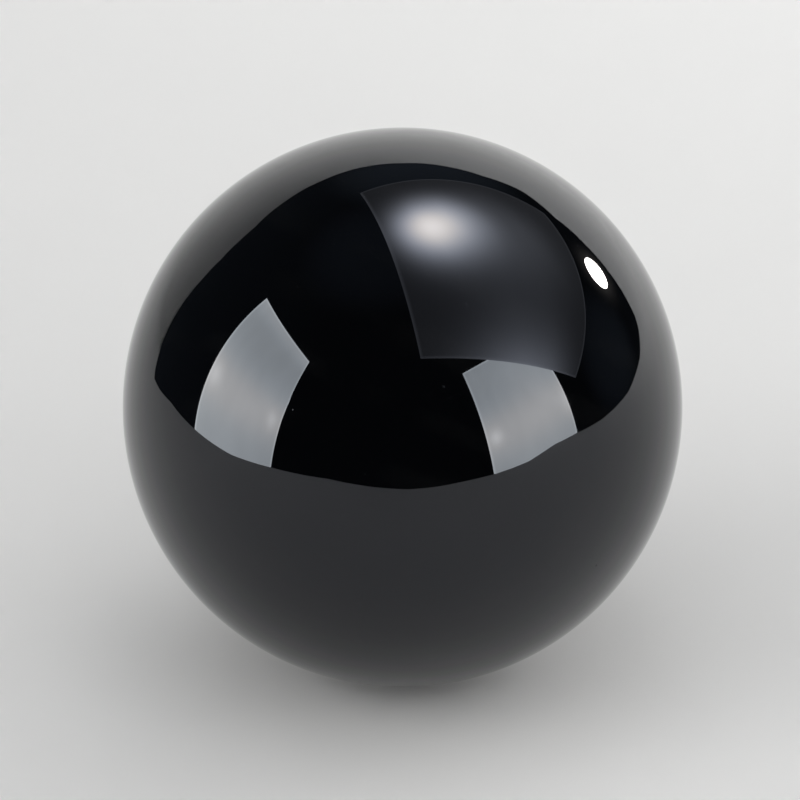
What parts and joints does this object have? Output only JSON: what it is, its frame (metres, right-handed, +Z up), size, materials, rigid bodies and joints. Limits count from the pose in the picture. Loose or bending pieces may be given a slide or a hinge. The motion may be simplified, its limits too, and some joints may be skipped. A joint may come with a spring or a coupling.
{
  "type": "obsidian sphere",
  "caption": "Mirror-polished ball of black volcanic glass that stands on a small flat spot ground into its underside.",
  "frame": {"origin": "middle of the flat spot on the underside, on the surface that the ball stands on", "axes": "+Z up through the centre of the ball, square to the flat spot; the ball is the same all round this axis"},
  "size_m": [0.08, 0.08, 0.0794],
  "materials": {
    "polished_obsidian": "polished"
  },
  "bodies": {
    "root": {"obsidian_sphere": "polished_obsidian"}
  },
  "joints": []
}
